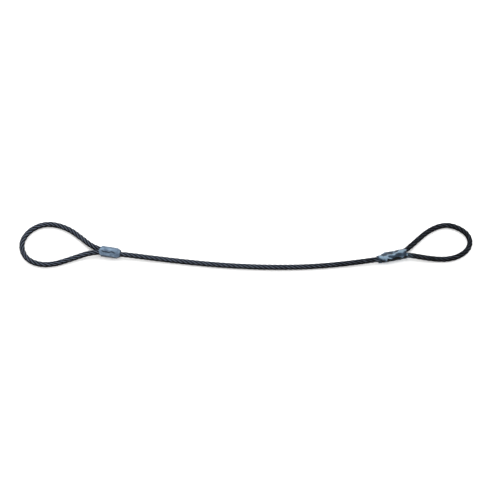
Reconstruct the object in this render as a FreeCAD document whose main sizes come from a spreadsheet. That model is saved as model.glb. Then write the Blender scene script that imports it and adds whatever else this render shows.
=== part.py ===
"""A wire rope lifting sling, about one metre long, with a soft eye at each end.

One length of six-strand rope, right-hand lay, lies on the ground. It turns back on itself at
both ends. The left eye is closed by a round pressed ferrule. The right eye is closed by an oval
sleeve under a crumpled metal wrap. Millimetres, +Z up, the ground at Z = 0, +X towards the
wrapped end.
"""

import FreeCAD, Part
import math
import os
import Sketcher

V = FreeCAD.Vector

# Driving dimensions: alias, value, what it is.
DIMENSIONS = [
    ("strand_diameter", 3.35, "one outer strand"),
    ("lay_length", 68.0, "one full turn of a strand"),
    ("lay_gap", 0.625, "between strands where the rope lies free"),
    ("strand_gap", 0.2, "between strands where a fitting squeezes them"),
    ("core_gap", 0.33, "between the core and the squeezed strands"),
    ("pair_gap", 0.4, "between the two ropes side by side in a ferrule"),
    ("bore_gap", 0.25, "between a rope and the metal round it"),
    ("end_gap", 2.0, "past the cut end of the rope, in a blind bore"),
    ("ferrule_wall", 0.69, "thinnest metal outside the two ropes in the pressed ferrule"),
    ("ferrule_length", 48.0, "pressed ferrule, over its nose"),
    ("ferrule_nose", 6.0, "depth of the bevels beside the nose"),
    ("ferrule_taper", 8.0, "cone at the body end"),
    ("mouth_wall", 0.66, "thinnest metal round the rope at the cone's small end"),
    ("ferrule_tilt", 30.0, "degrees that the two ropes lean over in the ferrule"),
    ("ferrule_round", 1.2, "rounding of the cone's edges"),
    ("ferrule_run", 21.0, "from the dead end to the ferrule's body end, where the body rope comes across"),
    ("sleeve_wall", 1.5, "metal outside the bore of the oval sleeve"),
    ("sleeve_length", 44.0, "parallel part of the oval sleeve"),
    ("sleeve_taper", 10.0, "loft from oval to round at the body end"),
    ("sleeve_tilt", 30.0, "degrees that the oval leans over"),
    ("sleeve_run", 14.0, "from the dead end to the sleeve's body end, where the body rope comes across"),
    ("wrap_thickness", 0.6, "metal wrap over the sleeve"),
    ("wrap_lap", 1.0, "how far the wrap's oval runs past the sleeve's body end"),
    ("wrap_tail", 11.0, "wrap past the sleeve, on the body"),
    ("wrap_skirt", 4.0, "wrap past the sleeve, over the legs of the eye"),
    ("wrap_spread", 1.4, "how far the skirt opens on each side"),
]

STRANDS = 6
STEPS_PER_LAY = 6
ARC_SHARE = 0.45  # of the shorter run, on each side of a corner
MOUTH_INSET = 2.0  # the route bends this far inside, or past, a fitting's end
BEND_ROOM = 8.0  # the body starts to bend this far past the dead end beside it
ROUGH = 5.0  # where a sketch's lines are first drawn, before its constraints place them
PRESS_RAMP_START = 4.0
PRESS_RAMP_LENGTH = 12.0

# Where the two fittings lie on the ground plan, and which way each points towards its eye.
LEFT_PLAN = (-299.0, -19.2, 170.0)
RIGHT_PLAN = (327.9, -26.5, 14.0)

# The rope's route, chosen by hand: x, y, and the share of the fitting's own lift above the
# ground. The places inside the fittings come from the fittings.
LEFT_EYE = [
    (-339.5, -2.4, 0.5),
    (-366.0, 22.4, 0.2),
    (-390.0, 42.5, 0.0),
    (-421.0, 55.0, 0.0),
    (-450.0, 55.2, 0.0),
    (-477.0, 40.5, 0.0),
    (-493.2, 15.5, 0.0),
    (-493.6, -10.0, 0.0),
    (-480.5, -34.5, 0.0),
    (-454.0, -47.2, 0.0),
    (-424.0, -46.8, 0.0),
    (-396.0, -37.5, 0.0),
    (-370.0, -28.4, 0.35),
    (-345.0, -22.0, 1.15),
]
BODY_LEFT = [
    (-245.0, -27.4, 0.75),
    (-205.0, -31.4, 0.2),
    (-150.0, -38.0, 0.0),
    (-90.0, -45.4, 0.0),
    (-20.0, -51.2, 0.0),
    (50.0, -54.0, 0.0),
    (120.0, -53.6, 0.0),
]
BODY_RIGHT = [
    (180.0, -49.2, 0.0),
    (225.0, -44.6, 0.3),
    (262.0, -41.0, 1.0),
]
RIGHT_EYE = [
    (372.0, -28.6, 1.15),
    (398.0, -31.8, 0.45),
    (422.0, -33.8, 0.0),
    (445.0, -33.4, 0.0),
    (469.0, -26.0, 0.0),
    (488.6, -9.6, 0.0),
    (494.8, 10.2, 0.0),
    (489.3, 29.6, 0.0),
    (472.0, 44.8, 0.0),
    (451.0, 53.0, 0.0),
    (434.0, 52.6, 0.0),
    (412.0, 44.2, 0.0),
    (391.0, 28.0, 0.1),
    (368.0, 4.0, 0.3),
]


def make_sheet(doc):
    """The spreadsheet of driving dimensions, one alias a row."""
    sheet = doc.addObject("Spreadsheet::Sheet", "sizes")
    for row, (alias, value, meaning) in enumerate(DIMENSIONS, start=1):
        sheet.set(f"A{row}", meaning)
        sheet.set(f"B{row}", str(value))
        sheet.setAlias(f"B{row}", alias)
    doc.recompute()
    return sheet


# ---- sizes that follow from the driving ones ----


def strand_radius(sizes):
    return sizes.strand_diameter / 2


def strand_circle(sizes, gap):
    """Radius on which six strands, laid at their slope, stand that gap apart."""
    wide = sizes.strand_diameter + gap
    radius = wide
    for _ in range(4):
        slope = 2 * math.pi * radius / sizes.lay_length
        half_angle = math.pi / STRANDS
        radius = wide / 2 * math.sqrt(1 + (1 + slope**2) / math.tan(half_angle) ** 2)
    return radius


def corner_radius(sizes, gap):
    """Radius of the corners of a strand's polygon whose runs stay on the strands' circle."""
    return strand_circle(sizes, gap) / math.cos(math.pi / STEPS_PER_LAY)


def corner_inset(sizes):
    """How far a strand's arc passes inside a corner of its own polygon."""
    step = math.radians(360 / STEPS_PER_LAY)
    pitch = sizes.lay_length / (2 * math.pi)
    reach = strand_circle(sizes, sizes.lay_gap)
    bend = (reach**2 + pitch**2) / reach
    run = step * math.hypot(reach, pitch)
    half_turn = run / bend / 2
    arc = ARC_SHARE * run / math.tan(half_turn)
    return arc * (1 / math.cos(half_turn) - 1)


def rope_radius(sizes):
    """Outer radius of the free rope."""
    return corner_radius(sizes, sizes.lay_gap) - corner_inset(sizes) + strand_radius(sizes)


def pressed_radius(sizes):
    """Outer radius of the squeezed rope."""
    return corner_radius(sizes, sizes.strand_gap) - corner_inset(sizes) + strand_radius(sizes)


def core_radius(sizes):
    return strand_circle(sizes, sizes.strand_gap) - strand_radius(sizes) - sizes.core_gap


def bore_radius(sizes):
    return pressed_radius(sizes) + sizes.bore_gap


def pair_offset(sizes):
    """From a fitting's axis to each of its two ropes."""
    return pressed_radius(sizes) + sizes.pair_gap / 2


def wrapped_radius(sizes):
    """Outer radius of each end of the wrapped oval."""
    return bore_radius(sizes) + sizes.sleeve_wall + sizes.wrap_thickness


def mouth_shift(sizes):
    """Sideways place of the body's centreline where it leaves the ferrule's cone."""
    return pair_offset(sizes) / 4


def ferrule_radius(sizes):
    return pair_offset(sizes) + bore_radius(sizes) + sizes.ferrule_wall


def mouth_radius(sizes):
    """Outer radius of the small end of the ferrule's cone."""
    return mouth_shift(sizes) + bore_radius(sizes) + sizes.mouth_wall


def left_height(sizes):
    return ferrule_radius(sizes)


def right_height(sizes):
    lean = math.sin(math.radians(sizes.sleeve_tilt))
    return pair_offset(sizes) * lean + wrapped_radius(sizes)


def left_place(sizes):
    """Placement of the left fitting: its own X points to the eye, its own -Y to the far side."""
    x, y, yaw = LEFT_PLAN
    return FreeCAD.Placement(V(x, y, left_height(sizes)), FreeCAD.Rotation(yaw, 0, 0))


def left_ropes(sizes):
    """The left fitting's axes turned so that the far rope, on its own -Y, lies lower."""
    lean = FreeCAD.Placement(V(0, 0, 0), FreeCAD.Rotation(0, 0, sizes.ferrule_tilt))
    return left_place(sizes) * lean


def right_place(sizes):
    """Placement of the right fitting: its own X points to the eye, its own +Y to the far side."""
    x, y, yaw = RIGHT_PLAN
    turn = FreeCAD.Rotation(yaw, 0, -sizes.sleeve_tilt)
    return FreeCAD.Placement(V(x, y, right_height(sizes)), turn)


# ---- the rope's route ----


def lifted(rows, lift, ground):
    """Route rows as points: each share of the lift is added to the resting height."""
    return [V(x, y, ground + share * lift) for x, y, share in rows]


def route_points(sizes):
    """The whole rope, from the dead end in the left ferrule to the one in the right sleeve."""
    ground = rope_radius(sizes)
    side = pair_offset(sizes)
    left = left_ropes(sizes)
    right = right_place(sizes)
    left_lift = left_height(sizes) - ground
    right_lift = right_height(sizes) - ground
    left_mouth = sizes.ferrule_length / 2 - MOUTH_INSET
    left_end = sizes.ferrule_run - sizes.ferrule_length / 2
    left_exit = -sizes.ferrule_length / 2 - MOUTH_INSET
    right_mouth = sizes.sleeve_length / 2 - MOUTH_INSET
    right_end = sizes.sleeve_run - sizes.sleeve_length / 2
    right_exit = -sizes.sleeve_length / 2 - sizes.sleeve_taper
    points = [left.multVec(V(left_end, -side, 0)), left.multVec(V(left_mouth, -side, 0))]
    points += lifted(LEFT_EYE, left_lift, ground)
    points += [left.multVec(V(left_mouth, side, 0))]
    points += [left.multVec(V(left_end - BEND_ROOM, side, 0))]
    points += [left.multVec(V(left_exit, mouth_shift(sizes), 0))]
    points += lifted(BODY_LEFT, left_lift, ground)
    points += lifted(BODY_RIGHT, right_lift, ground)
    points += [right.multVec(V(right_exit, -side / 3, 0))]
    points += [right.multVec(V(right_end - BEND_ROOM, -side, 0))]
    points += [right.multVec(V(right_mouth, -side, 0))]
    points += lifted(RIGHT_EYE, right_lift, ground)
    points += [right.multVec(V(right_mouth, side, 0)), right.multVec(V(right_end, side, 0))]
    return points


def runs_in_fittings(points):
    """For each fitting, the part of the route through it and the part that ends in it."""
    eye_start = 2
    eye_end = eye_start + len(LEFT_EYE)
    left_through = points[eye_end - 2 : eye_end + 5]
    left_dead = points[: eye_start + 2]
    sleeve_start = eye_end + 3 + len(BODY_LEFT) + len(BODY_RIGHT)
    right_through = points[sleeve_start - 2 : sleeve_start + 5]
    right_dead = points[-eye_start - 2 :]
    return (left_through, left_dead), (right_through, right_dead)


def lengthened(points, extra):
    """The same route with both ends pushed out, so that a bore is deeper than the rope."""
    first = points[0] + (points[0] - points[1]).normalize() * extra
    last = points[-1] + (points[-1] - points[-2]).normalize() * extra
    return [first] + points[1:-1] + [last]


def rounded_wire(points):
    """Straight runs joined by the largest tangent arcs that they allow, and the arcs' radii."""
    edges = []
    radii = []
    here = points[0]
    for before, corner, after in zip(points, points[1:], points[2:]):
        back = before - corner
        ahead = after - corner
        reach = ARC_SHARE * min(back.Length, ahead.Length)
        back.normalize()
        ahead.normalize()
        half_turn = (math.pi - back.getAngle(ahead)) / 2
        radius = reach / math.tan(half_turn)
        inward = (back + ahead).normalize()
        middle = corner + inward * radius * (1 / math.cos(half_turn) - 1)
        start = corner + back * reach
        end = corner + ahead * reach
        edges.append(Part.LineSegment(here, start).toShape())
        edges.append(Part.Arc(start, middle, end).toShape())
        radii.append(radius)
        here = end
    edges.append(Part.LineSegment(here, points[-1]).toShape())
    return Part.Wire(edges), radii


def lay_step(sizes):
    """Distance along the rope between two corners of a strand's polygon."""
    return sizes.lay_length / STEPS_PER_LAY


def stations(wire, sizes):
    """Evenly spaced corners beside the rope's centreline, each with two directions across it.

    In a bend each corner stands out from the centreline by a quarter of its distance from the
    middle of its neighbours, because the arcs of the strands pass that far inside.
    """
    steps = round(wire.Length / lay_step(sizes))
    places = wire.discretize(Number=steps + 1)
    across = V(0, 0, 1)
    result = []
    for index, place in enumerate(places):
        before = places[max(index - 1, 0)]
        after = places[min(index + 1, steps)]
        tangent = (after - before).normalize()
        across = (across - tangent * across.dot(tangent)).normalize()
        at_end = index in (0, steps)
        outward = V(0, 0, 0) if at_end else (place - (before + after) / 2) / 4
        result.append((place + outward, across, tangent.cross(across)))
    return result


def squeeze(place, sizes):
    """1 where a fitting squeezes the rope, 0 where it lies free, and a ramp between."""
    nearest = 1.0
    half_left = sizes.ferrule_length / 2
    half_right = sizes.sleeve_length / 2 + sizes.sleeve_taper
    for fitting, half in ((left_place(sizes), half_left), (right_place(sizes), half_right)):
        local = fitting.inverse().multVec(place)
        past = (abs(local.x) - half - PRESS_RAMP_START) / PRESS_RAMP_LENGTH
        nearest = min(nearest, max(past, 0.0))
    return 1 - nearest


def strand_points(number, places, sizes):
    """Corners of one strand's polygon: a right-hand helix round the rope's centreline."""
    free = corner_radius(sizes, sizes.lay_gap)
    pressed = corner_radius(sizes, sizes.strand_gap)
    points = []
    for step, (place, up, beside) in enumerate(places):
        angle = 2 * math.pi * (step / STEPS_PER_LAY + number / STRANDS)
        radius = free + (pressed - free) * squeeze(place, sizes)
        if step in (1, len(places) - 2):
            radius -= corner_inset(sizes) / 2
        points.append(place + up * radius * math.cos(angle) + beside * radius * math.sin(angle))
    points[0] = (points[0] + points[1]) / 2
    points[-1] = (points[-1] + points[-2]) / 2
    return points


# ---- building blocks ----


def swept(doc, name, points, radius_expression):
    """A round bar along a route, its radius bound to the sheet."""
    wire, radii = rounded_wire(points)
    path = doc.addObject("Part::Feature", name + "_path")
    path.Shape = wire
    ring = doc.addObject("Part::Circle", name + "_ring")
    ring.setExpression("Radius", radius_expression)
    heading = points[1] - points[0]
    ring.Placement = FreeCAD.Placement(points[0], FreeCAD.Rotation(V(0, 0, 1), heading))
    bar = doc.addObject("Part::Sweep", name)
    bar.Sections = [ring]
    bar.Spine = (path, [f"Edge{i + 1}" for i in range(len(wire.Edges))])
    bar.Solid = True
    bar.Frenet = False
    return bar, wire, radii


def origin_plane(body, role):
    return next(f for f in body.Origin.OriginFeatures if f.Role == role)


def new_sketch(body, name, role):
    sketch = body.newObject("Sketcher::SketchObject", name)
    sketch.AttachmentSupport = (origin_plane(body, role), "")
    sketch.MapMode = "FlatFace"
    return sketch


def line_ring(sketch, count):
    """A closed ring of straight lines, to be placed by constraints."""
    turns = [2 * math.pi * index / count for index in range(count)]
    corners = [V(ROUGH * math.cos(turn), ROUGH * math.sin(turn), 0) for turn in turns]
    for index in range(count):
        ahead = corners[(index + 1) % count]
        sketch.addGeometry(Part.LineSegment(corners[index], ahead), False)
    for index in range(count):
        sketch.addConstraint(
            Sketcher.Constraint("Coincident", index, 2, (index + 1) % count, 1)
        )


def closed_outline(sketch, corners):
    """Straight lines round a list of corners, whose x and y are formulas of the sheet."""
    line_ring(sketch, len(corners))
    for index, (x, y) in enumerate(corners):
        for kind, formula in (("DistanceX", x), ("DistanceY", y)):
            number = sketch.addConstraint(Sketcher.Constraint(kind, -1, 1, index, 1, ROUGH))
            sketch.setExpression(f"Constraints[{number}]", formula)


def slot_sketch(body, name, along, shift, half_pair, radius):
    """A slot across a fitting's own X axis, each of its sizes a formula of the sheet."""
    sketch = new_sketch(body, name, "YZ_Plane")
    sketch.setExpression("AttachmentOffset.Base.z", along)
    across = V(0, 0, 1)
    quarter = math.pi / 2
    first = Part.Circle(V(ROUGH, 0, 0), across, ROUGH)
    second = Part.Circle(V(-ROUGH, 0, 0), across, ROUGH)
    sketch.addGeometry(Part.ArcOfCircle(first, -quarter, quarter))
    sketch.addGeometry(Part.LineSegment(V(ROUGH, ROUGH, 0), V(-ROUGH, ROUGH, 0)))
    sketch.addGeometry(Part.ArcOfCircle(second, quarter, 3 * quarter))
    sketch.addGeometry(Part.LineSegment(V(-ROUGH, -ROUGH, 0), V(ROUGH, -ROUGH, 0)))
    for index in range(4):
        sketch.addConstraint(Sketcher.Constraint("Tangent", index, 2, (index + 1) % 4, 1))
    sketch.addConstraint(Sketcher.Constraint("Equal", 0, 2))
    sketch.addConstraint(Sketcher.Constraint("PointOnObject", 0, 3, -1))
    sketch.addConstraint(Sketcher.Constraint("PointOnObject", 2, 3, -1))
    bound = (
        (Sketcher.Constraint("DistanceX", -1, 1, 0, 3, ROUGH), f"{half_pair} + {shift}"),
        (Sketcher.Constraint("DistanceX", 2, 3, -1, 1, ROUGH), f"{half_pair} - {shift}"),
        (Sketcher.Constraint("Radius", 0, ROUGH), radius),
    )
    for constraint, formula in bound:
        number = sketch.addConstraint(constraint)
        sketch.setExpression(f"Constraints[{number}]", formula)
    return sketch


def loft(body, name, sections):
    """Straight-sided loft through slot sections along a fitting."""
    sketches = [slot_sketch(body, f"{name}_{i}", *row) for i, row in enumerate(sections)]
    feature = body.newObject("PartDesign::AdditiveLoft", name)
    feature.Profile = sketches[0]
    feature.Sections = sketches[1:]
    feature.Ruled = True
    return feature


def cut_by(doc, label, base, tools):
    """The base with each tool taken away in turn. The last cut carries the label."""
    piece = base
    for number, tool in enumerate(tools, start=1):
        step = doc.addObject("Part::Cut", f"{label}_cut_{number}")
        step.Base = piece
        step.Tool = tool
        piece = step
    piece.Label = label
    return piece


def rope_tubes(doc, name, runs, radius_expression):
    """Bars as wide as a rope's passage, one for each rope that a fitting holds."""
    return [
        swept(doc, f"{name}_{number}", run, radius_expression)[0]
        for number, run in enumerate(runs, start=1)
    ]


# ---- the pieces ----


def make_strand(doc, number, places, sizes):
    """One of the six outer strands, in one length from dead end to dead end."""
    points = strand_points(number, places, sizes)
    return swept(doc, f"strand_{number + 1}", points, "sizes.strand_diameter / 2")


def ferrule_blank(doc, sizes):
    """A turned slug with a cone at the body end and two bevels beside its nose."""
    body = doc.addObject("PartDesign::Body", "ferrule_blank")
    profile = new_sketch(body, "ferrule_profile", "XY_Plane")
    closed_outline(
        profile,
        [
            ("0", "0"),
            ("0", "sizes.mouth_radius"),
            ("sizes.ferrule_taper", "sizes.ferrule_radius"),
            ("sizes.ferrule_length", "sizes.ferrule_radius"),
            ("sizes.ferrule_length", "0"),
        ],
    )
    slug = body.newObject("PartDesign::Revolution", "ferrule_slug")
    slug.Profile = profile
    slug.ReferenceAxis = (profile, ["H_Axis"])
    slug.Angle = 360
    doc.recompute()
    slug_volume = slug.Shape.Volume

    bevel = new_sketch(body, "ferrule_bevel", "XY_Plane")
    closed_outline(
        bevel,
        [
            ("sizes.ferrule_length", "0"),
            ("sizes.ferrule_length + sizes.ferrule_nose", "0"),
            ("sizes.ferrule_length + sizes.ferrule_nose", "2 * sizes.ferrule_radius"),
            ("sizes.ferrule_length - 2 * sizes.ferrule_nose", "2 * sizes.ferrule_radius"),
        ],
    )
    one_side = body.newObject("PartDesign::Pocket", "ferrule_bevel_cut")
    one_side.Profile = bevel
    one_side.Type = 1
    one_side.Midplane = True
    doc.recompute()
    if one_side.Shape.Volume >= slug_volume:
        raise RuntimeError("the bevel beside the nose cuts nothing")

    both_sides = body.newObject("PartDesign::Mirrored", "ferrule_bevels")
    both_sides.Originals = [one_side]
    both_sides.MirrorPlane = (origin_plane(body, "XZ_Plane"), [""])
    body.Tip = both_sides
    doc.recompute()

    cone_edges = [
        f"Edge{i + 1}"
        for i, edge in enumerate(both_sides.Shape.Edges)
        if len(edge.Vertexes) == 1
        and isinstance(edge.Curve, Part.Circle)
        and edge.CenterOfMass.x < sizes.ferrule_length / 2
    ]
    rounding = body.newObject("PartDesign::Fillet", "ferrule_rounding")
    rounding.Base = (both_sides, cone_edges)
    rounding.setExpression("Radius", "sizes.ferrule_round")
    body.Tip = rounding
    to_middle = FreeCAD.Placement(V(-sizes.ferrule_length / 2, 0, 0), FreeCAD.Rotation())
    body.Placement = left_place(sizes) * to_middle
    return body


def sleeve_blank(doc, sizes):
    """The oval sleeve before its bore: round at the body end, parallel to the eye end."""
    body = doc.addObject("PartDesign::Body", "sleeve_blank")
    outside = "sizes.bore_radius + sizes.sleeve_wall"
    body_end = "-(sizes.sleeve_length / 2 + sizes.sleeve_taper)"
    sections = [
        (body_end, "sizes.exit_shift", "sizes.pair_offset / 4", outside),
        ("-sizes.sleeve_length / 2", "0", "sizes.pair_offset", outside),
        ("sizes.sleeve_length / 2", "0", "sizes.pair_offset", outside),
    ]
    loft(body, "sleeve_loft", sections)
    body.Placement = right_place(sizes)
    return body


def wrap_blank(doc, sizes):
    """The outside of the metal wrap: a tail on the body, the sleeve's oval, and a skirt."""
    body = doc.addObject("PartDesign::Body", "wrap_blank")
    oval = "sizes.bore_radius + sizes.sleeve_wall + sizes.wrap_thickness"
    on_rope = "sizes.rope_radius + sizes.bore_gap + 1.5 * sizes.wrap_thickness"
    on_legs = "sizes.rope_radius + sizes.bore_gap + sizes.wrap_thickness"
    sleeve_end = "sizes.sleeve_length / 2 + sizes.sleeve_taper"
    open_pair = "sizes.pair_offset + sizes.wrap_spread"
    sections = [
        (f"-({sleeve_end} + sizes.wrap_tail)", "sizes.tail_shift", "sizes.pair_offset / 8", on_rope),
        (f"-({sleeve_end} + sizes.wrap_lap)", "sizes.exit_shift", "sizes.pair_offset / 4", oval),
        ("-sizes.sleeve_length / 2", "0", "sizes.pair_offset", oval),
        ("sizes.sleeve_length / 2", "0", "sizes.pair_offset", oval),
        ("sizes.sleeve_length / 2 + sizes.wrap_skirt", "0", open_pair, on_legs),
    ]
    loft(body, "wrap_loft", sections)
    body.Placement = right_place(sizes)
    return body


def add_derived(sheet, derived):
    """Sizes worked out from the driving ones, added to the sheet so that features can use them."""
    first = len(DIMENSIONS) + 1
    for row, (alias, value) in enumerate(derived, start=first):
        sheet.set(f"B{row}", f"{value:.6f}")
        sheet.setAlias(f"B{row}", alias)


def tail_shift(sizes):
    """Sideways place of the body's centreline at the end of the wrap's tail."""
    right = right_place(sizes)
    inside = right.inverse()
    rope = [inside.multVec(point) for point in route_points(sizes)]
    past = -(sizes.sleeve_length / 2 + sizes.sleeve_taper + sizes.wrap_tail)
    body = 2 + len(LEFT_EYE) + 3
    exit_index = next(i for i in range(body, len(rope)) if rope[i].x > past)
    near, far = rope[exit_index], rope[exit_index - 1]
    share = (past - near.x) / (far.x - near.x)
    return near.y + share * (far.y - near.y)


def check_objects(doc):
    for item in doc.Objects:
        bad = [state for state in item.State if state in ("Invalid", "Error")]
        if bad:
            raise RuntimeError(f"{item.Name} is {bad}")


def export(nodes):
    """One STEP file for each node, named by its Label."""
    os.makedirs("parts", exist_ok=True)
    for node in nodes:
        shape = node.Shape
        if shape.isNull() or not shape.isValid():
            raise RuntimeError(f"{node.Label} has no valid shape")
        if len(shape.Solids) != 1:
            raise RuntimeError(f"{node.Label} is {len(shape.Solids)} solids")
        shape.exportStep(f"parts/{node.Label}.step")


def report_bar(bar, wire, radii, diameter):
    expected = math.pi * diameter**2 / 4 * wire.Length
    print(
        f"{bar.Label}: length {wire.Length:.1f}, arcs {min(radii):.1f} to {max(radii):.1f},"
        f" volume {bar.Shape.Volume / expected:.4f} of section times length"
    )


def main():
    doc = FreeCAD.newDocument("wire_rope_sling")
    sizes = make_sheet(doc)
    derived = [
        ("rope_radius", rope_radius(sizes)),
        ("core_radius", core_radius(sizes)),
        ("bore_radius", bore_radius(sizes)),
        ("pair_offset", pair_offset(sizes)),
        ("ferrule_radius", ferrule_radius(sizes)),
        ("mouth_radius", mouth_radius(sizes)),
        ("exit_shift", -pair_offset(sizes) / 3),
        ("tail_shift", tail_shift(sizes)),
    ]
    add_derived(sizes, derived)

    points = route_points(sizes)
    core, centreline, core_radii = swept(doc, "rope_core", points, "sizes.core_radius")
    helix_line, _ = rounded_wire(lengthened(points, lay_step(sizes) / 2))
    places = stations(helix_line, sizes)
    strands = [make_strand(doc, number, places, sizes) for number in range(STRANDS)]

    left_runs, right_runs = runs_in_fittings(lengthened(points, sizes.end_gap))
    left_bores = rope_tubes(doc, "left_bore", left_runs, "sizes.bore_radius")
    right_bores = rope_tubes(doc, "right_bore", right_runs, "sizes.bore_radius")
    loose_radius = "sizes.rope_radius + sizes.bore_gap"
    loose_ropes = rope_tubes(doc, "loose_rope", right_runs, loose_radius)

    ferrule = cut_by(doc, "left_ferrule", ferrule_blank(doc, sizes), left_bores)
    sleeve_solid = sleeve_blank(doc, sizes)
    sleeve = cut_by(doc, "right_sleeve", sleeve_solid, right_bores)
    wrap = cut_by(doc, "right_wrap", wrap_blank(doc, sizes), [sleeve_solid] + loose_ropes)

    doc.recompute()
    check_objects(doc)
    export([core, ferrule, sleeve, wrap] + [bar for bar, _, _ in strands])
    report_bar(core, centreline, core_radii, 2 * core_radius(sizes))
    for bar, wire, radii in strands:
        report_bar(bar, wire, radii, sizes.strand_diameter)
    print(
        f"centreline {centreline.Length:.1f}, rope {2 * rope_radius(sizes):.3f},"
        f" core {2 * core_radius(sizes):.3f}, pair offset {pair_offset(sizes):.3f},"
        f" ferrule {2 * ferrule_radius(sizes):.3f}, mouth {2 * mouth_radius(sizes):.3f}"
    )


main()
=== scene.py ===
"""A wire rope sling: one length of six strand rope with an eye at each end, a pressed aluminium ferrule on the left
eye and a sleeve under a crumpled metal wrap on the right one, lying on a pale floor."""

import math
import random

import bmesh
import bpy
from bpy.props import FloatProperty, FloatVectorProperty, IntProperty, PointerProperty
from mathutils import Matrix, Vector, kdtree, noise


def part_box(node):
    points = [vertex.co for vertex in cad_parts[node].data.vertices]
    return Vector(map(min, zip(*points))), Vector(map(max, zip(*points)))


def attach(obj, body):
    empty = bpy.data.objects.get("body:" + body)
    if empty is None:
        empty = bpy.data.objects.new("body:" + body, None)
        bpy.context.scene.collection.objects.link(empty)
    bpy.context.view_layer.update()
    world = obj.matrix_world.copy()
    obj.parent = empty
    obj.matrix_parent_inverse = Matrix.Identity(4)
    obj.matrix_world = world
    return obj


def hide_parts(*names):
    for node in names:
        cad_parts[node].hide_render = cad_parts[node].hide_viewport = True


bl_info = {
    "name": "Wire rope sling",
    "version": (1, 0, 0),
    "blender": (4, 5, 0),
    "location": "View3D > Sidebar > Sling",
    "description": "Makes a wire rope sling with two pressed eyes, piece by piece",
    "category": "Add Mesh",
}

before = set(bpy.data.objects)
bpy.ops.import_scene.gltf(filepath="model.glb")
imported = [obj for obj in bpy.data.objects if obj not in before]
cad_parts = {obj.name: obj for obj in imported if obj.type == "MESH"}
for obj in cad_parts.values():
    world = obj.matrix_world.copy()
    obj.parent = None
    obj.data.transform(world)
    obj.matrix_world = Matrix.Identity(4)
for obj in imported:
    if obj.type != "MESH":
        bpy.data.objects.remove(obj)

MM = 0.001
STRANDS = 6
UP = Vector((0, 0, 1))

# The rope's line, in metres: its dead end in the ferrule, the left eye, the body, the right eye, its other dead end.
ROUTE = [
    (-0.2952, -0.0149, 0.0092),
    (-0.3198, -0.0106, 0.0092),
    (-0.3395, -0.0024, 0.0090),
    (-0.3660, 0.0224, 0.0072),
    (-0.3900, 0.0425, 0.0060),
    (-0.4210, 0.0550, 0.0060),
    (-0.4500, 0.0552, 0.0060),
    (-0.4770, 0.0405, 0.0060),
    (-0.4932, 0.0155, 0.0060),
    (-0.4936, -0.0100, 0.0060),
    (-0.4805, -0.0345, 0.0060),
    (-0.4540, -0.0472, 0.0060),
    (-0.4240, -0.0468, 0.0060),
    (-0.3960, -0.0375, 0.0060),
    (-0.3700, -0.0284, 0.0081),
    (-0.3450, -0.0220, 0.0129),
    (-0.3215, -0.0202, 0.0148),
    (-0.2890, -0.0259, 0.0148),
    (-0.2736, -0.0249, 0.0127),
    (-0.2450, -0.0274, 0.0105),
    (-0.2050, -0.0314, 0.0072),
    (-0.1500, -0.0380, 0.0060),
    (-0.0900, -0.0454, 0.0060),
    (-0.0200, -0.0512, 0.0060),
    (0.0500, -0.0540, 0.0060),
    (0.1200, -0.0536, 0.0060),
    (0.1800, -0.0492, 0.0060),
    (0.2250, -0.0446, 0.0074),
    (0.2620, -0.0410, 0.0106),
    (0.2972, -0.0358, 0.0115),
    (0.3136, -0.0351, 0.0134),
    (0.3485, -0.0264, 0.0134),
    (0.3720, -0.0286, 0.0113),
    (0.3980, -0.0318, 0.0081),
    (0.4220, -0.0338, 0.0060),
    (0.4450, -0.0334, 0.0060),
    (0.4690, -0.0260, 0.0060),
    (0.4886, -0.0096, 0.0060),
    (0.4948, 0.0102, 0.0060),
    (0.4893, 0.0296, 0.0060),
    (0.4720, 0.0448, 0.0060),
    (0.4510, 0.0530, 0.0060),
    (0.4340, 0.0526, 0.0060),
    (0.4120, 0.0442, 0.0060),
    (0.3910, 0.0280, 0.0065),
    (0.3680, 0.0040, 0.0074),
    (0.3461, -0.0169, 0.0078),
    (0.3190, -0.0237, 0.0078),
]

# Where the two fittings stand, as in the part: middle, then the turn of their own X axis towards their eye.
LEFT_PLACE, LEFT_YAW = (-0.2990, -0.0192, 0.0120), 170
RIGHT_PLACE, RIGHT_YAW = (0.3279, -0.0265, 0.0106), 14
LEAN = 30
# The sleeve's bore round each rope, half its ropes' spacing, its taper, and how far the body rope lies off its middle
# at its end and at the wrap's end; then the metal that the part has round the bore.
BORE, PAIR = 0.00567, 0.00562
SLEEVE_TAPER, EXIT_SHIFT, TAIL_SHIFT = 0.010, -0.0019, -0.0008
SLEEVE_WALL, WRAP_WALL = 0.0015, 0.0006


# ---------------------------------------------------------------- colours and materials


def linear(code):
    """An sRGB hex colour as the linear red, green and blue that Blender's colours hold."""
    parts = [int(code[i : i + 2], 16) / 255 for i in (1, 3, 5)]
    return tuple(c / 12.92 if c <= 0.04045 else ((c + 0.055) / 1.055) ** 2.4 for c in parts)


def rgba(colour):
    return (*colour, 1.0)


def add_node(tree, kind, settings=None, links=None, **inputs):
    """Adds a node with its settings, its input values and the sockets linked to its inputs."""
    node = tree.nodes.new(kind)
    for name, value in (settings or {}).items():
        setattr(node, name, value)
    for name, value in inputs.items():
        node.inputs[name.replace("_", " ")].default_value = value
    for name, socket in (links or {}).items():
        tree.links.new(socket, node.inputs[name])
    return node


def new_material(name):
    material = bpy.data.materials.new(name)
    material.use_nodes = True
    tree = material.node_tree
    shader = tree.nodes["Principled BSDF"]
    return material, tree, shader


def ramp_stops(node, stops):
    """Sets a colour ramp's stops, each a place and a linear colour."""
    elements = node.color_ramp.elements
    while len(elements) < len(stops):
        elements.new(0.5)
    for element, (place, colour) in zip(elements, stops):
        element.position = place
        element.color = rgba(colour)


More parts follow.
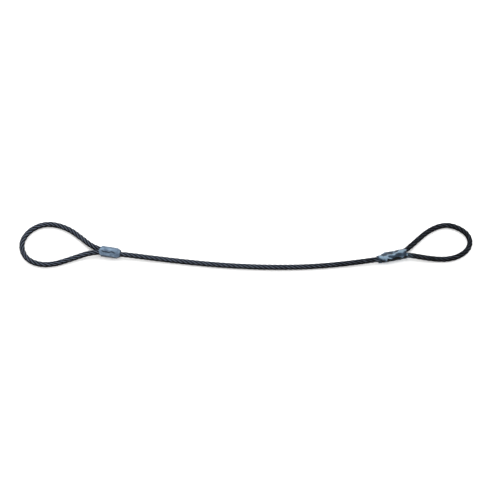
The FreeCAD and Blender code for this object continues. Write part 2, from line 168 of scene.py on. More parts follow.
def ranged(tree, value, start, end, low=0.0, high=1.0, smooth=False):
    """A value with its range from start to end turned into one from low to high, eased at both ends when smooth."""
    settings = {"interpolation_type": "SMOOTHSTEP"} if smooth else None
    node = add_node(
        tree, "ShaderNodeMapRange", settings, {"Value": value}, From_Min=start, From_Max=end, To_Min=low, To_Max=high
    )
    return node.outputs["Result"]


def weighted(tree, value, weight, base, clamp=False):
    """A value times its weight, added to a base."""
    settings = {"operation": "MULTIPLY_ADD", "use_clamp": clamp}
    node = add_node(tree, "ShaderNodeMath", settings, {0: value, 2: base})
    node.inputs[1].default_value = weight
    return node.outputs[0]


def painted(tree, share, under, colour):
    """A colour laid over the one under it, by a share."""
    node = add_node(tree, "ShaderNodeMix", {"data_type": "RGBA"}, {0: share, 6: under})
    node.inputs[7].default_value = rgba(colour)
    return node.outputs[2]


def surface(tree, shader, colour, roughness, height, strength, distance):
    """Links a colour, a roughness and the relief of a height to the shader."""
    bump = add_node(tree, "ShaderNodeBump", links={"Height": height}, Strength=strength, Distance=distance)
    tree.links.new(colour, shader.inputs["Base Color"])
    tree.links.new(roughness, shader.inputs["Roughness"])
    tree.links.new(bump.outputs["Normal"], shader.inputs["Normal"])


def attribute(tree, name):
    return add_node(tree, "ShaderNodeAttribute", {"attribute_name": name}).outputs["Fac"]


def greased_steel(colours):
    """Drawn steel wires under dried lubricant: black in the valleys, partly lubricant and partly painted shade, dark
    and dull, with a paler line on the crowns that is partly wear and partly a painted highlight. Painted shade darkens
    the underside and the part towards the right eye.
    """
    material, tree, shader = new_material("greased drawn steel wire")
    place = add_node(tree, "ShaderNodeTexCoord").outputs["Object"]
    # smears of grease 20 mm across, and grit of 1.5 mm in them
    smear = add_node(tree, "ShaderNodeTexNoise", links={"Vector": place}, Scale=50.0, Detail=4.0, Roughness=0.6)
    grit = add_node(tree, "ShaderNodeTexNoise", links={"Vector": place}, Scale=650.0, Detail=3.0, Roughness=0.7)
    # the crowns are paler and the valleys darker: partly wear and lubricant, partly a painted highlight and painted
    # shade
    crown_wear_and_highlight = ranged(tree, attribute(tree, "crown"), 0.91, 1.0, smooth=True)
    patchy = weighted(tree, smear.outputs["Fac"], 0.45, crown_wear_and_highlight)
    toned = weighted(tree, attribute(tree, "wire_tone"), 0.35, patchy)
    # painted shade: the rope is painted darker towards the right eye
    place_axes = add_node(tree, "ShaderNodeSeparateXYZ", links={"Vector": place})
    rightward_shade = ranged(tree, place_axes.outputs["X"], -0.05, 0.35, high=0.55, smooth=True)
    right_shaded_tone = add_node(tree, "ShaderNodeMath", {"operation": "SUBTRACT", "use_clamp": True}, {0: toned, 1: rightward_shade})
    # painted shade: the rope is darker towards its underside
    underside_shading = ranged(tree, attribute(tree, "upper"), 0.05, 0.75, smooth=True)
    shown = add_node(tree, "ShaderNodeMath", {"operation": "MULTIPLY"}, {0: right_shaded_tone.outputs[0], 1: underside_shading})
    ramp = add_node(tree, "ShaderNodeValToRGB", links={"Fac": shown.outputs[0]})
    ramp_stops(ramp, [(0.10, colours.grease_and_shade), (0.50, colours.steel), (1.0, colours.worn_and_highlight)])
    coat = attribute(tree, "coat")
    coated = add_node(tree, "ShaderNodeMath", {"operation": "MULTIPLY", "use_clamp": True}, {0: coat, 1: crown_wear_and_highlight})
    colour = painted(tree, coated.outputs[0], ramp.outputs["Color"], colours.smear)
    rough = ranged(tree, grit.outputs["Fac"], 0.3, 0.7, 0.50, 0.72)
    surface(tree, shader, colour, rough, grit.outputs["Fac"], 0.25, 0.2 * MM)
    shader.inputs["Metallic"].default_value = 0.15
    shader.inputs["Specular IOR Level"].default_value = 0.08
    return material


def pressed_aluminium(colours):
    """Cast and die-pressed aluminium, unpolished: pale and softly sheened, with painted shade in its seam, along its
    underside and at its body end.
    """
    material, tree, shader = new_material("die pressed aluminium")
    place = add_node(tree, "ShaderNodeTexCoord").outputs["Object"]
    # dull patches 8 mm across and die scuffs under 1 mm
    patch = add_node(tree, "ShaderNodeTexNoise", links={"Vector": place}, Scale=125.0, Detail=4.0, Roughness=0.6)
    scuff = add_node(tree, "ShaderNodeTexNoise", links={"Vector": place}, Scale=1300.0, Detail=3.0, Roughness=0.7)
    ramp = add_node(tree, "ShaderNodeValToRGB", links={"Fac": patch.outputs["Fac"]})
    ramp_stops(ramp, [(0.30, colours.dull), (0.70, colours.bright)])
    # painted shade in the wavy seam's groove
    seam_shaded = painted(tree, attribute(tree, "seam"), ramp.outputs["Color"], colours.seam)
    # painted shade: darker below and at the body end
    colour = painted(tree, attribute(tree, "ferrule_shade"), seam_shaded, colours.ferrule_shade)
    rough = ranged(tree, patch.outputs["Fac"], 0.3, 0.7, 0.52, 0.36)
    surface(tree, shader, colour, rough, scuff.outputs["Fac"], 0.25, 0.2 * MM)
    shader.inputs["Metallic"].default_value = 0.85
    return material


def dark_steel(colours):
    """Pressed mild steel that has blackened: a dark oxide, faintly blue, with a little shine left on it. Its near black
    is partly painted shade where the torn wrap leaves it bare.
    """
    material, tree, shader = new_material("blackened pressed steel")
    place = add_node(tree, "ShaderNodeTexCoord").outputs["Object"]
    # rubbed patches 6 mm across
    patch = add_node(tree, "ShaderNodeTexNoise", links={"Vector": place}, Scale=160.0, Detail=5.0, Roughness=0.65)
    ramp = add_node(tree, "ShaderNodeValToRGB", links={"Fac": patch.outputs["Fac"]})
    ramp_stops(ramp, [(0.35, colours.oxide_and_shade), (0.75, colours.rubbed)])
    rough = ranged(tree, patch.outputs["Fac"], 0.3, 0.7, 0.62, 0.42)
    surface(tree, shader, ramp.outputs["Color"], rough, patch.outputs["Fac"], 0.2, 0.3 * MM)
    shader.inputs["Metallic"].default_value = 0.5
    shader.inputs["Specular IOR Level"].default_value = 0.1
    return material


def crumpled_sheet(colours):
    """Thin zinc-coated sheet, crushed by hand round the sleeve: grey-blue, with a painted highlight on its crests and
    painted shade in its folds.
    """
    material, tree, shader = new_material("crumpled zinc sheet")
    place = add_node(tree, "ShaderNodeTexCoord").outputs["Object"]
    # soiled patches 6 mm across, and the zinc's spangle of 2.4 mm
    patch = add_node(tree, "ShaderNodeTexNoise", links={"Vector": place}, Scale=170.0, Detail=4.0, Roughness=0.6)
    spangle = add_node(tree, "ShaderNodeTexVoronoi", links={"Vector": place}, Scale=420.0)
    mixed = weighted(tree, patch.outputs["Fac"], 0.6, attribute(tree, "crease"), clamp=True)
    ramp = add_node(tree, "ShaderNodeValToRGB", links={"Fac": mixed})
    # painted highlight on the high creases, painted shade in the low folds
    ramp_stops(ramp, [(0.45, colours.shade), (0.74, colours.sheet), (1.0, colours.crest_highlight)])
    rough = ranged(tree, spangle.outputs["Distance"], 0.0, 0.6, 0.34, 0.5)
    surface(tree, shader, ramp.outputs["Color"], rough, patch.outputs["Fac"], 0.3, 0.4 * MM)
    shader.inputs["Metallic"].default_value = 0.8
    return material


def studio_floor(colours):
    """A matt painted studio floor: near white, with no sheen and only the faintest mottle."""
    material, tree, shader = new_material("matt studio floor")
    place = add_node(tree, "ShaderNodeTexCoord").outputs["Object"]
    mottle = add_node(tree, "ShaderNodeTexNoise", links={"Vector": place}, Scale=3.0, Detail=2.0)
    ramp = add_node(tree, "ShaderNodeValToRGB", links={"Fac": mottle.outputs["Fac"]})
    paler = tuple(min(1.0, c * 1.01) for c in colours.floor)
    ramp_stops(ramp, [(0.0, colours.floor), (1.0, paler)])
    tree.links.new(ramp.outputs["Color"], shader.inputs["Base Color"])
    shader.inputs["Roughness"].default_value = 0.95
    shader.inputs["Specular IOR Level"].default_value = 0.1
    return material


# ---------------------------------------------------------------- shared workshop functions


def link(name, data):
    piece = bpy.data.objects.new(name, data)
    bpy.context.scene.collection.objects.link(piece)
    return piece


def finish_piece(name, bm, material, slot, *nodes, place=Matrix.Identity(4)):
    """Turns a bmesh into a finished piece in its place, with its material, riding on the sling."""
    bmesh.ops.transform(bm, matrix=place, verts=bm.verts)
    bmesh.ops.recalc_face_normals(bm, faces=bm.faces)
    for face in bm.faces:
        face.smooth = True
    mesh = bpy.data.meshes.new(name)
    bm.to_mesh(mesh)
    bm.free()
    mesh.materials.append(material)
    piece = link(name, mesh)
    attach(piece, "root")
    if nodes:
        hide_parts(*nodes)
    return piece


def set_points(mesh, name, values):
    """Stores one number for each of a mesh's points, for its material to read."""
    layer = mesh.attributes.new(name, "FLOAT", "POINT")
    layer.data.foreach_set("value", values)


def smooth_share(value, low, high):
    share = min(1.0, max(0.0, (value - low) / (high - low)))
    return share * share * (3 - 2 * share)


def turned(angle):
    return Matrix.Rotation(math.radians(angle), 4, "Z")


def right_matrix(lean=True):
    """The right fitting's own axes: X towards its eye, Y towards its far rope, which lies lower when it leans."""
    matrix = Matrix.Translation(RIGHT_PLACE) @ turned(RIGHT_YAW)
    return matrix @ Matrix.Rotation(math.radians(-LEAN), 4, "X") if lean else matrix


# ---------------------------------------------------------------- the rope's line


class Station:
    """A place on the rope's line: its distance from the start, and the rope's own directions there."""

    def __init__(self, along, place, forward, across):
        self.along = along
        self.place = place
        self.forward = forward
        self.across = across
        self.up = forward.cross(across)
        self.squeeze = 1.0


def smooth_line(route):
    """The points of the NURBS spline that has the route as its control points."""
    curve = bpy.data.curves.new("rope_line", "CURVE")
    curve.dimensions = "3D"
    curve.resolution_u = 24
    spline = curve.splines.new("NURBS")
    spline.points.add(len(route) - 1)
    for point, place in zip(spline.points, route):
        point.co = (*place, 1.0)
    spline.order_u = 3
    spline.use_endpoint_u = True
    line = link("rope_line", curve)
    mesh = bpy.data.meshes.new_from_object(line)
    points = [vertex.co.copy() for vertex in mesh.vertices]
    bpy.data.objects.remove(line)
    bpy.data.meshes.remove(mesh)
    return points


def spaced(points, step):
    """Evenly spaced places along a line of points, near that step apart, and how far along each is."""
    lengths = [0.0]
    for a, b in zip(points, points[1:]):
        lengths.append(lengths[-1] + (b - a).length)
    count = round(lengths[-1] / step)
    places, along, piece = [], [], 0
    for index in range(count + 1):
        target = lengths[-1] * index / count
        while piece < len(points) - 2 and lengths[piece + 1] < target:
            piece += 1
        run = lengths[piece + 1] - lengths[piece]
        share = (target - lengths[piece]) / run if run else 0.0
        places.append(points[piece].lerp(points[piece + 1], share))
        along.append(target)
    return places, along


def rope_stations(step, keep):
    """Stations down the whole rope. The directions turn with the line and never spin about it."""
    places, along = spaced(smooth_line(ROUTE), step)
    stations = []
    across = UP
    for index, place in enumerate(places):
        before, after = places[max(0, index - 1)], places[min(len(places) - 1, index + 1)]
        forward = (after - before).normalized()
        across = (across - forward * across.dot(forward)).normalized()
        stations.append(Station(along[index], place, forward, across))
    fittings = [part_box("left_ferrule"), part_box("right_sleeve")]
    ramp = 10 * MM
    for station in stations:
        x = station.place.x
        depth = max(min(x - low.x, high.x - x) for low, high in fittings)
        station.squeeze = 1 - (1 - keep) * smooth_share(depth, -ramp, 0.5 * ramp)
    return stations


def strand_profile(wires, points_each, radius):
    """A strand's cross-section: a ring of round outer wires, as a flat closed curve."""
    wire = radius * math.sin(math.pi / wires) / (1 + math.sin(math.pi / wires))
    reach = radius - wire
    outline = []
    half = math.pi / 2 + math.pi / wires
    for index in range(wires):
        middle = math.tau * index / wires
        for step in range(points_each):
            turn = middle - half + 2 * half * (step + 0.5) / points_each
            x = reach * math.cos(middle) + wire * math.cos(turn)
            y = reach * math.sin(middle) + wire * math.sin(turn)
            outline.append((x, y))
    curve = bpy.data.curves.new("strand_profile", "CURVE")
    curve.dimensions = "2D"
    spline = curve.splines.new("POLY")
    spline.points.add(len(outline) - 1)
    for point, (x, y) in zip(spline.points, outline):
        point.co = (x, y, 0.0, 1.0)
    spline.use_cyclic_u = True
    return link("strand_profile", curve)


def laid_wire(name, line, profile, twist, squeeze):
    """A bar of that profile swept down a line, turning as its wires are laid, as an open tube's mesh."""
    curve = bpy.data.curves.new(name, "CURVE")
    curve.dimensions = "3D"
    curve.bevel_mode = "OBJECT"
    curve.bevel_object = profile
    spline = curve.splines.new("POLY")
    spline.points.add(len(line) - 1)
    for point, place, turn, size in zip(spline.points, line, twist, squeeze):
        point.co = (*place, 1.0)
        point.tilt = turn
        point.radius = size
    bar = link(name, curve)
    bpy.context.view_layer.update()
    mesh = bpy.data.meshes.new_from_object(bar.evaluated_get(bpy.context.evaluated_depsgraph_get()))
    bpy.data.objects.remove(bar)
    bm = bmesh.new()
    bm.from_mesh(mesh)
    bpy.data.meshes.remove(mesh)
    bmesh.ops.holes_fill(bm, edges=[edge for edge in bm.edges if edge.is_boundary])
    return bm


def nearest_station(stations):
    tree = kdtree.KDTree(len(stations))
    for index, station in enumerate(stations):
        tree.insert(station.place, index)
    tree.balance()
    return tree


def mark_wires(mesh, stations, tree, rope, points_each, seed):
    """Stores how far out each point of a strand is, its wire's own tone, and where the wrap has rubbed off on it."""
    dice = random.Random(seed)
    rope_radius, ring = rope.diameter / 2, rope.wires * points_each
    tones = [dice.uniform(0.0, 1.0) for _ in range(rope.wires)]
    wrap_low, wrap_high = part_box("right_wrap")
    crown, upper, tone, coat = [], [], [], []
    for vertex in mesh.vertices:
        place, index, distance = tree.find(vertex.co)
        crown.append(distance / (rope_radius * stations[index].squeeze))
        # how high on the rope each point stands, which the material uses to paint shade on the underside
        upper.append((vertex.co.z - place.z) / rope_radius)
        tone.append(tones[vertex.index % ring // points_each])
        x = vertex.co.x
        near_wrap = smooth_share(x, wrap_low.x - 6 * MM, wrap_low.x + 4 * MM)
        near_wrap *= 1 - smooth_share(x, wrap_high.x + 4 * MM, wrap_high.x + 16 * MM)
        coat.append(near_wrap if vertex.co.y < -20 * MM else 0.0)
    set_points(mesh, "crown", crown)
    set_points(mesh, "upper", upper)
    set_points(mesh, "wire_tone", tone)
    set_points(mesh, "coat", coat)


# ---------------------------------------------------------------- sizes and colours that a user would change


class SlingRopeSettings(bpy.types.PropertyGroup):
    diameter: FloatProperty(name="Rope", description="Diameter over the rope's crowns", default=0.012, unit="LENGTH")
    lay: FloatProperty(name="Lay", description="Length of one full turn of a strand", default=0.068, unit="LENGTH")
    wire_lay: FloatProperty(
        name="Wire lay", description="Length of one turn of a wire in its strand", default=0.030, unit="LENGTH"
    )
    wires: IntProperty(name="Wires", description="Outer wires shown in each strand", default=12, min=6)
    step: FloatProperty(name="Step", description="Distance between a strand's rings", default=0.0016, unit="LENGTH")
    keep: FloatProperty(name="Pressed", description="Size kept inside a fitting", default=0.9, subtype="FACTOR")
    # the lowest colour: lubricant in the valleys, and also painted shade in the valleys, on the underside and towards
    # the right eye
    grease_and_shade: FloatVectorProperty(
        name="Grease", description="Lubricant in the valleys", subtype="COLOR", default=linear("#020203")
    )
    steel: FloatVectorProperty(name="Steel", description="Filmed wire", subtype="COLOR", default=linear("#0B0D10"))
    # the crown colour: partly wear, partly a painted highlight on the crowns
    worn_and_highlight: FloatVectorProperty(name="Worn", description="Worn crowns", subtype="COLOR", default=linear("#4F5664"))
    smear: FloatVectorProperty(
        name="Smear", description="Zinc rubbed off by the wrap", subtype="COLOR", default=linear("#4E5A66")
    )


class SlingFerruleSettings(bpy.types.PropertyGroup):
    diameter: FloatProperty(name="Ferrule", description="Pressed diameter", default=0.024, unit="LENGTH")
    length: FloatProperty(name="Length", description="Length to the nose's point", default=0.048, unit="LENGTH")
    nose: FloatProperty(name="Nose", description="How far the nose's point leads", default=0.006, unit="LENGTH")
    taper: FloatProperty(name="Taper", description="Length of the coned end", default=0.008, unit="LENGTH")
    mouth: FloatProperty(name="Mouth", description="Diameter at the coned end", default=0.0155, unit="LENGTH")
    bright: FloatVectorProperty(name="Bright", description="Pressed faces", subtype="COLOR", default=linear("#67798A"))
    dull: FloatVectorProperty(name="Dull", description="Dull patches", subtype="COLOR", default=linear("#425062"))
    # the seam colour is painted shade in the seam's groove
    seam: FloatVectorProperty(name="Seam", description="Dirt in the seam", subtype="COLOR", default=linear("#030A14"))
    # the colour of the painted shade below the ferrule and at its body end
    ferrule_shade: FloatVectorProperty(name="Soil", description="Grease at the ends", subtype="COLOR", default=linear("#07090C"))


class SlingSleeveSettings(bpy.types.PropertyGroup):
    wall: FloatProperty(name="Sleeve wall", description="Metal around the ropes", default=SLEEVE_WALL, unit="LENGTH")
    length: FloatProperty(name="Sleeve", description="Length of the sleeve", default=0.044, unit="LENGTH")
    # blackened steel, and also painted shade where the torn wrap leaves the sleeve bare
    oxide_and_shade: FloatVectorProperty(name="Oxide", description="Blackened steel", subtype="COLOR", default=linear("#020203"))
    rubbed: FloatVectorProperty(name="Rubbed", description="Rubbed places", subtype="COLOR", default=linear("#0A0C0F"))


class SlingWrapSettings(bpy.types.PropertyGroup):
    thickness: FloatProperty(name="Sheet", description="Thickness of the sheet", default=0.0004, unit="LENGTH")
    crumple: FloatProperty(name="Crumple", description="Height of the creases", default=0.0016, unit="LENGTH")
    # the crest colour is a painted highlight on the creases; the shade colour below is painted shade in the folds
    crest_highlight: FloatVectorProperty(name="Crest", description="Rubbed creases", subtype="COLOR", default=linear("#697C8C"))
    sheet: FloatVectorProperty(name="Sheet", description="Zinc coat", subtype="COLOR", default=linear("#2A3847"))
    shade: FloatVectorProperty(name="Shade", description="Soiled folds", subtype="COLOR", default=linear("#18222D"))


class SlingStudioSettings(bpy.types.PropertyGroup):
    elevation: FloatProperty(
        name="Elevation", description="Camera above the horizon", default=math.radians(60), subtype="ANGLE"
    )
    field: FloatProperty(name="Field", description="Width that the camera takes in", default=1.1, unit="LENGTH")
    lens: FloatProperty(name="Lens", description="Focal length in millimetres", default=200.0)
    key: FloatProperty(name="Key", description="Power of the main light in watts", default=26.0)
    fill: FloatProperty(name="Fill", description="Strength of the room's light", default=1.5)
    floor: FloatVectorProperty(name="Floor", description="Floor paint", subtype="COLOR", default=linear("#FBFBFB"))


# ---------------------------------------------------------------- operators


class SLING_OT_stage(bpy.types.Operator):
    """Lay the pale floor, hang the soft lights and set up the camera"""

    bl_idname = "sling.stage"
    bl_label = "Stage, lights and camera"

    floor_size = 6.0
    key_place, key_size = Vector((-0.5, 1.5, 2.4)), 2.4
    side_place, side_size, side_share = Vector((1.8, 0.6, 2.0)), 2.0, 0.5
    aim = Vector((0.0088, -0.0102, 0.006))

    def execute(self, context):
        studio = context.scene.sling_studio
        bm = bmesh.new()
        bmesh.ops.create_grid(bm, x_segments=1, y_segments=1, size=self.floor_size)
        mesh = bpy.data.meshes.new("floor")
        bm.to_mesh(mesh)
        bm.free()
        mesh.materials.append(studio_floor(studio))
        link("floor", mesh)

        world = bpy.data.worlds.new("room")
        world.use_nodes = True
        background = world.node_tree.nodes["Background"]
        background.inputs["Color"].default_value = (1.0, 1.0, 1.0, 1.0)
        background.inputs["Strength"].default_value = studio.fill
        context.scene.world = world

        self.hang("key", self.key_place, studio.key, self.key_size)
        self.hang("side", self.side_place, studio.key * self.side_share, self.side_size)

        camera = bpy.data.cameras.new("camera")
        camera.lens = studio.lens
        camera.sensor_width = 36.0
        camera.clip_end = 50.0
        eye = link("camera", camera)
        back = Vector((0, -math.cos(studio.elevation), math.sin(studio.elevation)))
        distance = studio.field * camera.lens / camera.sensor_width
        eye.location = self.aim + back * distance
        eye.rotation_euler = (-back).to_track_quat("-Z", "Y").to_euler()
        context.scene.camera = eye
        context.scene.view_settings.view_transform = "Standard"
        return {"FINISHED"}

    def hang(self, name, place, power, size):
        """Hangs a round soft light, turned towards the sling."""
        light = bpy.data.lights.new(name, "AREA")
        light.energy = power
        light.shape = "DISK"
        light.size = size
        lamp = link(name, light)
        lamp.location = place
        lamp.rotation_euler = (-place).to_track_quat("-Z", "Y").to_euler()


class SLING_OT_rope(bpy.types.Operator):
    """Lay six strands of wire round a core, from one dead end to the other"""

    bl_idname = "sling.rope"
    bl_label = "Rope: core and six strands"

    points_each = 5
    strand_share = 0.1615

    def execute(self, context):
        rope = context.scene.sling_rope
        strand_radius = rope.diameter * self.strand_share
        reach = rope.diameter / 2 - strand_radius
        stations = rope_stations(rope.step, rope.keep)
        tree = nearest_station(stations)
        steel = greased_steel(rope)
        profile = strand_profile(rope.wires, self.points_each, strand_radius)
        for index in range(STRANDS):
            phase = math.tau * index / STRANDS
            line, twist, squeeze = [], [], []
            run = 0.0
            for station in stations:
                turn = phase + math.tau * station.along / rope.lay
                offset = station.across * math.cos(turn) + station.up * math.sin(turn)
                place = station.place + offset * reach * station.squeeze
                run += (place - line[-1]).length if line else 0.0
                line.append(place)
                twist.append(-math.tau * run / rope.wire_lay)
                squeeze.append(station.squeeze)
            bm = laid_wire(f"strand_bar_{index + 1}", line, profile, twist, squeeze)
            piece = finish_piece(f"rope_strand_{index + 1}", bm, steel, "strand_steel", f"strand_{index + 1}")
            mark_wires(piece.data, stations, tree, rope, self.points_each, index)
        bpy.data.objects.remove(profile)

        core_profile = strand_profile(6, 3, reach - strand_radius)
        sparse = stations[::2]
        bm = laid_wire(
            "core_bar", [s.place for s in sparse], core_profile,
            [math.tau * s.along / rope.lay for s in sparse], [s.squeeze for s in sparse],
        )
        core = finish_piece("rope_heart", bm, steel, "core_steel", "rope_core")
        bpy.data.objects.remove(core_profile)

        return {"FINISHED"}


# The torn edge of the wrap on its near side: how far along the sleeve, in millimetres, and the angle round it from
# the near side's level, in degrees. A low angle is a point that hangs down.
TORN_EDGE = [
    (-46, 70), (-40, 55), (-34, 46), (-29, 34), (-24, 2), (-20.5, 62), (-15, 46), (-10, 36),
    (-5, 50), (1, 60), (7, 44), (13, 14), (17, 42), (22, 36), (32, 34),
]


def between(rows, x):
    """The second number of a list of rows, read between them at x."""
    for (a, low), (b, high) in zip(rows, rows[1:]):
        if x <= b:
            return low + (high - low) * max(0.0, (x - a) / (b - a))
    return rows[-1][1]


class SLING_OT_left_ferrule(bpy.types.Operator):
    """Turn the left eye's ferrule, cut its pointed nose and press its seam and dents into it"""

    bl_idname = "sling.left_ferrule"
    bl_label = "Left ferrule"

    facets, cone_cuts, barrel_cuts = 160, 9, 49
    roll = -30.0
    edge_round = 0.9 * MM
    seam_spread, seam_cut = 7.0, 0.60 * MM
    sunk, dent, scuff = 0.12 * MM, 0.28 * MM, 0.10 * MM

    def execute(self, context):
        ferrule = context.scene.sling_ferrule
        radius, half = ferrule.diameter / 2, ferrule.length / 2
        bm = bmesh.new()
        outline = [
            (-half, 0.0), (-half, ferrule.mouth / 2), (-half + ferrule.taper, radius), (half, radius), (half, 0.0),
        ]
        corners = [bm.verts.new((x, 0.0, r)) for x, r in outline]
        edges = [bm.edges.new(pair) for pair in zip(corners, corners[1:])]
        bmesh.ops.subdivide_edges(bm, edges=[edges[1]], cuts=self.cone_cuts)
        bmesh.ops.subdivide_edges(bm, edges=[edges[2]], cuts=self.barrel_cuts)
        bmesh.ops.spin(
            bm, geom=bm.verts[:] + bm.edges[:], cent=(0, 0, 0), axis=(1, 0, 0), angle=math.tau, steps=self.facets,
            use_merge=True,
        )
        bmesh.ops.remove_doubles(bm, verts=bm.verts, dist=1e-6)
        for side in (1, -1):
            bmesh.ops.bisect_plane(
                bm, geom=bm.verts[:] + bm.edges[:] + bm.faces[:], plane_co=(half, 0, 0),
                plane_no=(radius, side * ferrule.nose, 0), clear_outer=True,
            )
            bmesh.ops.holes_fill(bm, edges=[edge for edge in bm.edges if edge.is_boundary])
        bmesh.ops.recalc_face_normals(bm, faces=bm.faces)
        sharp = [edge for edge in bm.edges if edge.calc_face_angle(0.0) > math.radians(25)]
        bmesh.ops.bevel(
            bm, geom=sharp, offset=self.edge_round, offset_type="OFFSET", affect="EDGES", segments=4, profile=0.5,
            material=-1, clamp_overlap=True,
        )
        for vertex in bm.verts:
            self.press(vertex, radius)
        place = Matrix.Translation(LEFT_PLACE) @ turned(LEFT_YAW) @ Matrix.Rotation(math.radians(self.roll), 4, "X")
        piece = finish_piece(
            "pressed_ferrule", bm, pressed_aluminium(ferrule), "ferrule_aluminium", "left_ferrule", place=place
        )
        self.mark(piece.data, place.inverted(), radius, half)
        return {"FINISHED"}

    def seam_depth(self, place):
        """How deep in the wavy seam along its top a place on the ferrule is, from 0 to 1."""
        angle = math.degrees(math.atan2(place.y, place.z))
        wander = 4.0 * math.sin(place.x / (4.2 * MM)) + 2.5 * math.sin(place.x / (1.9 * MM) + 1.0)
        aside = (angle - wander) / self.seam_spread
        ends = smooth_share(place.x, -16 * MM, -11 * MM) * (1 - smooth_share(place.x, 15 * MM, 20 * MM))
        return math.exp(-aside * aside) * ends

    def press(self, vertex, radius):
        """Moves one point in for the seam, the dies' marks and the dents of handling."""
        place = vertex.co
        out = Vector((0, place.y, place.z))
        if out.length < 0.3 * radius:
            return
        dents = self.dent * noise.noise(place / (9 * MM))
        marks = self.scuff * noise.noise(place / (2.5 * MM))
        depth = self.seam_cut * self.seam_depth(place) + self.sunk + dents + marks
        vertex.co = place - out.normalized() * max(0.0, depth)

    def mark(self, mesh, inside, radius, half):
        """Stores where the seam is, for its painted shade, and where shade is painted: below, and at the body end."""
        seam, ferrule_shade = [], []
        for vertex in mesh.vertices:
            place = inside @ vertex.co
            seam.append(self.seam_depth(place))
            under = 1 - smooth_share((vertex.co.z - LEFT_PLACE[2]) / radius, -0.15, 0.50)
            grain = 0.5 + 0.5 * noise.noise(place / (5 * MM))
            ends = 1 - smooth_share(place.x, -half, -half + 2.5 * MM)
            ferrule_shade.append(min(1.0, max(under * (0.55 + 0.6 * grain), ends * (0.5 + 0.6 * grain))))
        set_points(mesh, "seam", seam)
        set_points(mesh, "ferrule_shade", ferrule_shade)


def oval_sections(sleeve_length, taper, exit_shift, pair, outside):
    """The sleeve's sections from its body end: how far along, its middle's shift, half its spacing, its radius."""
    half = sleeve_length / 2
    return [(-half - taper, exit_shift, pair / 4, outside), (-half, 0.0, pair, outside), (half, 0.0, pair, outside)]


class SLING_OT_right_sleeve(bpy.types.Operator):
    """Draw the oval sleeve under the wrap, from its round body end to its flat eye end"""

    bl_idname = "sling.right_sleeve"
    bl_label = "Right sleeve"

    def execute(self, context):
        sleeve = context.scene.sling_sleeve
        outside = BORE + sleeve.wall
        bm = bmesh.new()
        ring = bmesh.ops.create_circle(bm, cap_ends=False, segments=72, radius=1.0)["verts"]
        bmesh.ops.rotate(bm, verts=ring, matrix=Matrix.Rotation(math.radians(90), 3, "Y"))
        edges = bm.edges[:]
        sections = oval_sections(sleeve.length, SLEEVE_TAPER, EXIT_SHIFT, PAIR, outside)
        circle = {vertex: vertex.co.copy() for vertex in ring}
        for number, section in enumerate(sections):
            if number:
                grown = bmesh.ops.extrude_edge_only(bm, edges=edges)["geom"]
                edges = [item for item in grown if isinstance(item, bmesh.types.BMEdge)]
                ring_now = [item for item in grown if isinstance(item, bmesh.types.BMVert)]
                circle = {vertex: self.unit(vertex.co, sections[number - 1]) for vertex in ring_now}
            self.fit(circle, section)
        bmesh.ops.holes_fill(bm, edges=[edge for edge in bm.edges if edge.is_boundary])
        bmesh.ops.recalc_face_normals(bm, faces=bm.faces)
        rims = [edge for edge in bm.edges if edge.calc_face_angle(0.0) > math.radians(40)]
        bmesh.ops.bevel(
            bm, geom=rims, offset=0.8 * MM, offset_type="OFFSET", affect="EDGES", segments=3, profile=0.5, material=-1,
            clamp_overlap=True,
        )
        finish_piece(
            "oval_sleeve", bm, dark_steel(sleeve), "sleeve_steel", "right_sleeve", place=right_matrix()
        )
        return {"FINISHED"}

    def unit(self, place, section):
        """A point of a section as a point of the unit circle."""
        _, shift, pair, radius = section
        y = place.y - shift
        y -= math.copysign(min(abs(y), pair), y)
        return Vector((0, y / radius, place.z / radius))

    def fit(self, circle, section):
        """Moves a ring of points to a section: each half of the circle stands off by half the ropes' spacing."""
        x, shift, pair, radius = section
        for vertex, place in circle.items():
            side = 0.0 if abs(place.y) < 1e-6 else math.copysign(pair, place.y)
            vertex.co = Vector((x, shift + side + place.y * radius, place.z * radius))


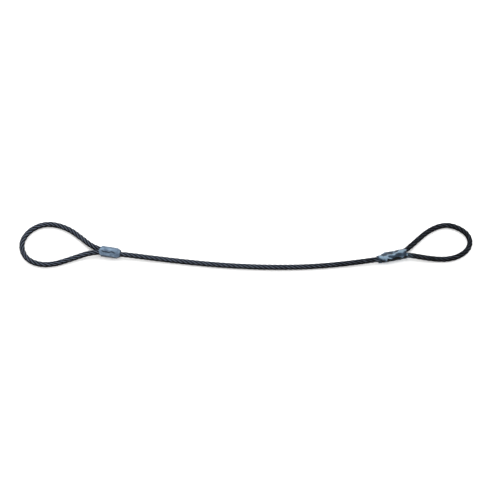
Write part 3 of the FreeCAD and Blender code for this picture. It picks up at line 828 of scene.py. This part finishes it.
class SLING_OT_right_wrap(bpy.types.Operator):
    """Crush a torn metal sheet round the sleeve, with its open side towards the near side"""

    bl_idname = "sling.right_wrap"
    bl_label = "Right wrap"

    rows = 150
    columns = 110
    clear = 0.05 * MM
    ground = 0.35 * MM
    overlap = 9 * MM

    def execute(self, context):
        wrap = context.scene.sling_wrap
        sections = self.sections()
        bm = bmesh.new()
        bmesh.ops.create_grid(bm, x_segments=self.rows, y_segments=self.columns, size=0.5)
        dice = random.Random(7)
        folds = [
            (dice.uniform(0, math.pi), dice.uniform(0.010, 0.024), dice.uniform(0, 1), dice.uniform(0.6, 1.0))
            for _ in range(5)
        ]
        crease = []
        hug = wrap.thickness / 2 - WRAP_WALL + self.clear
        place = right_matrix(lean=False)
        for vertex in bm.verts:
            along, around = vertex.co.x + 0.5, vertex.co.y + 0.5
            spot, height = self.drape(along, around, sections, folds, wrap.crumple, hug)
            world = place @ spot
            world.z = max(self.ground, world.z)
            vertex.co = world
            crease.append(height)
        piece = finish_piece("crumpled_wrap", bm, crumpled_sheet(wrap), "wrap_metal", "right_wrap")
        set_points(piece.data, "crease", crease)
        solid = piece.modifiers.new("sheet", "SOLIDIFY")
        solid.thickness = wrap.thickness
        solid.offset = 0.0
        return {"FINISHED"}

    def sections(self):
        """The wrap's sections, which follow the body, the sleeve and then the eye's two legs."""
        outside = BORE + SLEEVE_WALL + WRAP_WALL
        end = 22 * MM
        return [
            (-43 * MM, TAIL_SHIFT, PAIR / 8, 7.1 * MM),
            (-33 * MM, EXIT_SHIFT, PAIR / 4, outside),
            (-end, 0.0, PAIR, outside),
            (end, 0.0, PAIR, outside),
            (end + 9 * MM, 0.0, PAIR + 2.0 * MM, 6.8 * MM),
        ]

    def drape(self, along, around, sections, folds, crumple, hug):
        """Where a point of the flat sheet lies on the sleeve, and how high its crumple stands there."""
        tail = 3.0 * MM * noise.noise(Vector((around * 7, 0.3, 0)))
        tail += 2.0 * MM * noise.noise(Vector((around * 19, 7, 0)))
        first, last = -41 * MM + tail, 27 * MM + 1.2 * tail - 4 * MM * abs(2 * around - 0.9)
        x = first + (last - first) * along
        shift, pair, radius = (between([(s[0], s[k]) for s in sections], x) for k in (1, 2, 3))
        jag = 5 * noise.noise(Vector((x / (1.6 * MM), 4, 0)))
        start = math.radians(between(TORN_EDGE, x / MM) - LEAN + jag) * radius
        under = math.tau * radius + 4 * pair - self.overlap
        reach = start + (under - start) * around
        y, z, out = self.on_oval(reach, pair, radius)
        height = 0.0
        for angle, spacing, phase, weight in folds:
            warp = 0.35 * noise.noise(Vector((x, reach, phase)) / (11 * MM))
            t = (x * math.cos(angle) + reach * math.sin(angle)) / spacing + phase + warp
            height += weight * (abs(2 * (t % 1.0) - 1) - 0.5)
        height /= 1.8
        lift = max(hug, crumple * height + 0.1 * MM)
        y, z = y + shift + out[0] * lift, z + out[1] * lift
        lean = math.radians(-LEAN)
        return (
            Vector((x, y * math.cos(lean) - z * math.sin(lean), y * math.sin(lean) + z * math.cos(lean))),
            0.5 + height,
        )

    def on_oval(self, reach, pair, radius):
        """The point that far round an oval from its near end, over the top, and which way is out there."""
        quarter, flat = math.pi * radius / 2, 2 * pair
        if reach < quarter:
            angle = reach / radius
            return -pair - radius * math.cos(angle), radius * math.sin(angle), (-math.cos(angle), math.sin(angle))
        if reach < quarter + flat:
            return -pair + reach - quarter, radius, (0.0, 1.0)
        reach -= quarter + flat
        if reach < 2 * quarter:
            angle = reach / radius
            return pair + radius * math.sin(angle), radius * math.cos(angle), (math.sin(angle), math.cos(angle))
        reach -= 2 * quarter
        if reach < flat:
            return pair - reach, -radius, (0.0, -1.0)
        angle = (reach - flat) / radius
        return -pair - radius * math.sin(angle), -radius * math.cos(angle), (-math.sin(angle), -math.cos(angle))


class SLING_PT_panel(bpy.types.Panel):
    bl_idname = "SLING_PT_panel"
    bl_label = "Wire rope sling"
    bl_space_type = "VIEW_3D"
    bl_region_type = "UI"
    bl_category = "Sling"

    def draw(self, context):
        groups = (
            (SLING_OT_stage, context.scene.sling_studio, SlingStudioSettings),
            (SLING_OT_rope, context.scene.sling_rope, SlingRopeSettings),
            (SLING_OT_left_ferrule, context.scene.sling_ferrule, SlingFerruleSettings),
            (SLING_OT_right_sleeve, context.scene.sling_sleeve, SlingSleeveSettings),
            (SLING_OT_right_wrap, context.scene.sling_wrap, SlingWrapSettings),
        )
        for operator, settings, kind in groups:
            box = self.layout.box()
            box.operator(operator.bl_idname)
            for name in kind.__annotations__:
                box.prop(settings, name)


CLASSES = (
    SlingRopeSettings,
    SlingFerruleSettings,
    SlingSleeveSettings,
    SlingWrapSettings,
    SlingStudioSettings,
    SLING_OT_stage,
    SLING_OT_rope,
    SLING_OT_left_ferrule,
    SLING_OT_right_sleeve,
    SLING_OT_right_wrap,
    SLING_PT_panel,
)


def register():
    for each in CLASSES:
        bpy.utils.register_class(each)
    bpy.types.Scene.sling_rope = PointerProperty(type=SlingRopeSettings)
    bpy.types.Scene.sling_ferrule = PointerProperty(type=SlingFerruleSettings)
    bpy.types.Scene.sling_sleeve = PointerProperty(type=SlingSleeveSettings)
    bpy.types.Scene.sling_wrap = PointerProperty(type=SlingWrapSettings)
    bpy.types.Scene.sling_studio = PointerProperty(type=SlingStudioSettings)


def unregister():
    for name in ("sling_rope", "sling_ferrule", "sling_sleeve", "sling_wrap", "sling_studio"):
        delattr(bpy.types.Scene, name)
    for each in reversed(CLASSES):
        bpy.utils.unregister_class(each)


def main():
    register()
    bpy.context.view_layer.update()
    bpy.ops.sling.stage()
    bpy.ops.sling.rope()
    bpy.ops.sling.left_ferrule()
    bpy.ops.sling.right_sleeve()
    bpy.ops.sling.right_wrap()


if __name__ == "__main__":
    main()
